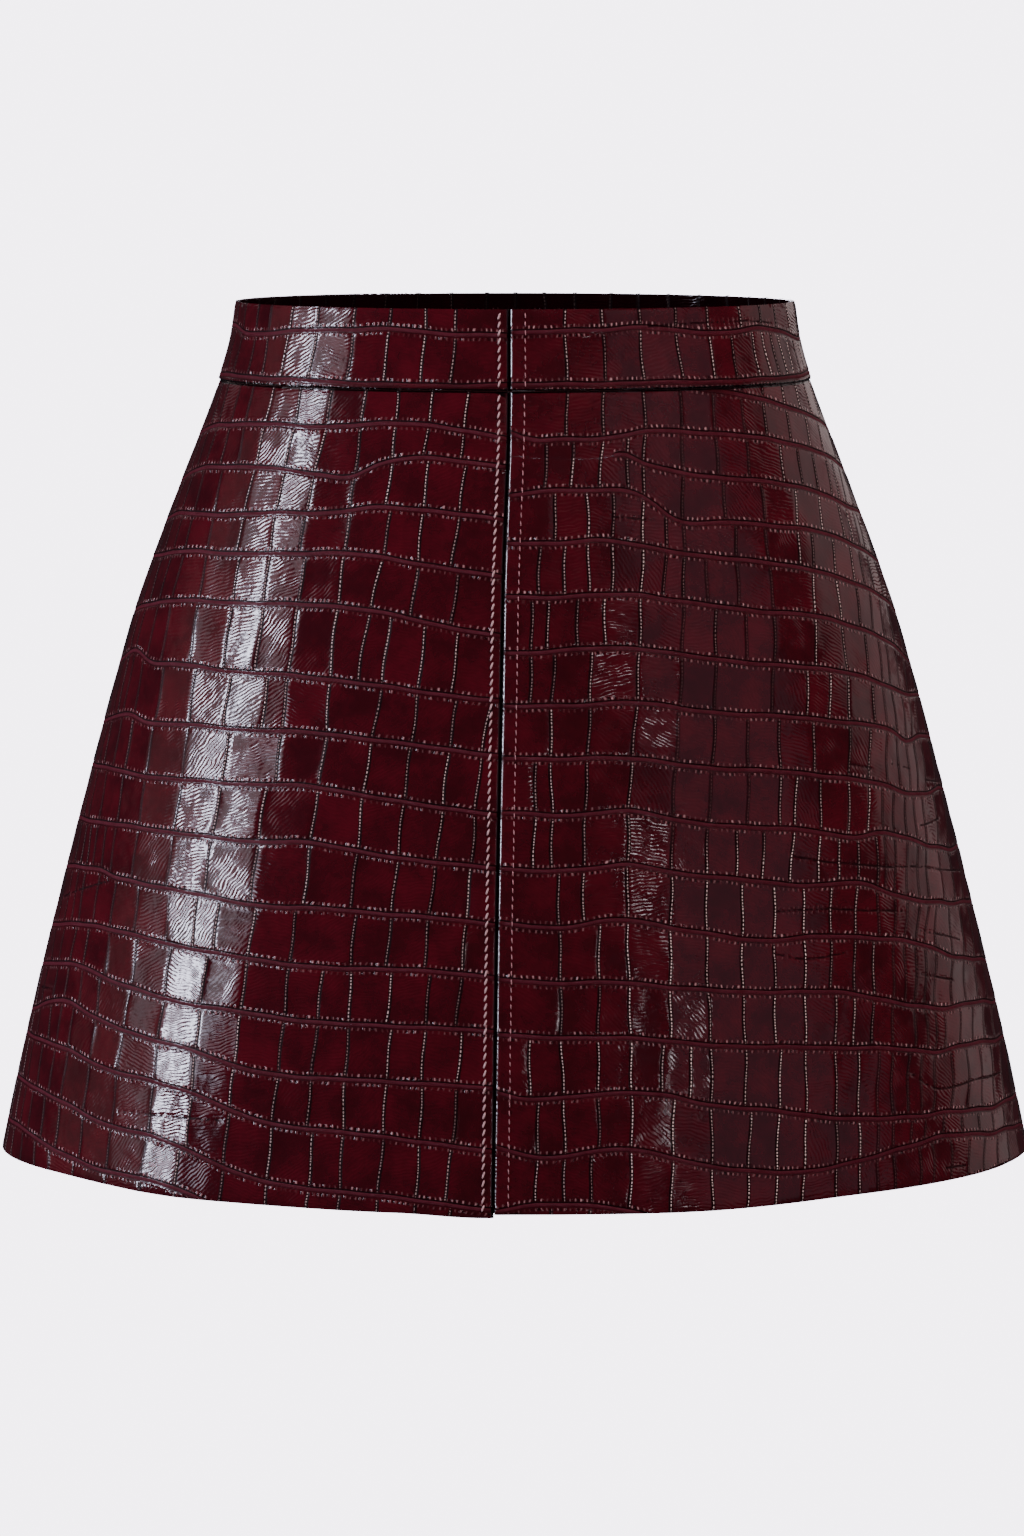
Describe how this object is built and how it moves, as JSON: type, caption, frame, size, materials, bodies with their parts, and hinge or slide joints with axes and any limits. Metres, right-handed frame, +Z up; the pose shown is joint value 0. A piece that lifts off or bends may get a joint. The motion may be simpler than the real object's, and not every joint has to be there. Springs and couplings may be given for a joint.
{
  "type": "leather skirt",
  "caption": "Short A-line skirt in crocodile-embossed leather, filled out as worn, with a butted centre front seam, side seams and a straight waistband.",
  "frame": {"origin": "middle of the waist opening, halfway up the waistband", "axes": "+Z up, -Y the front of the skirt, +X the wearer's left"},
  "size_m": [0.5019, 0.31, 0.4117],
  "materials": {
    "panel_leather": "crocodile-embossed and glazed, deep burgundy",
    "band_leather": "crocodile-embossed and glazed, deep burgundy",
    "thread": "bonded topstitching thread, burgundy"
  },
  "bodies": {
    "root": {"front_right_panel": "panel_leather", "front_left_panel": "panel_leather", "back_panel": "panel_leather", "waistband_front_right": "band_leather", "waistband_front_left": "band_leather", "waistband_back": "band_leather"}
  },
  "joints": []
}
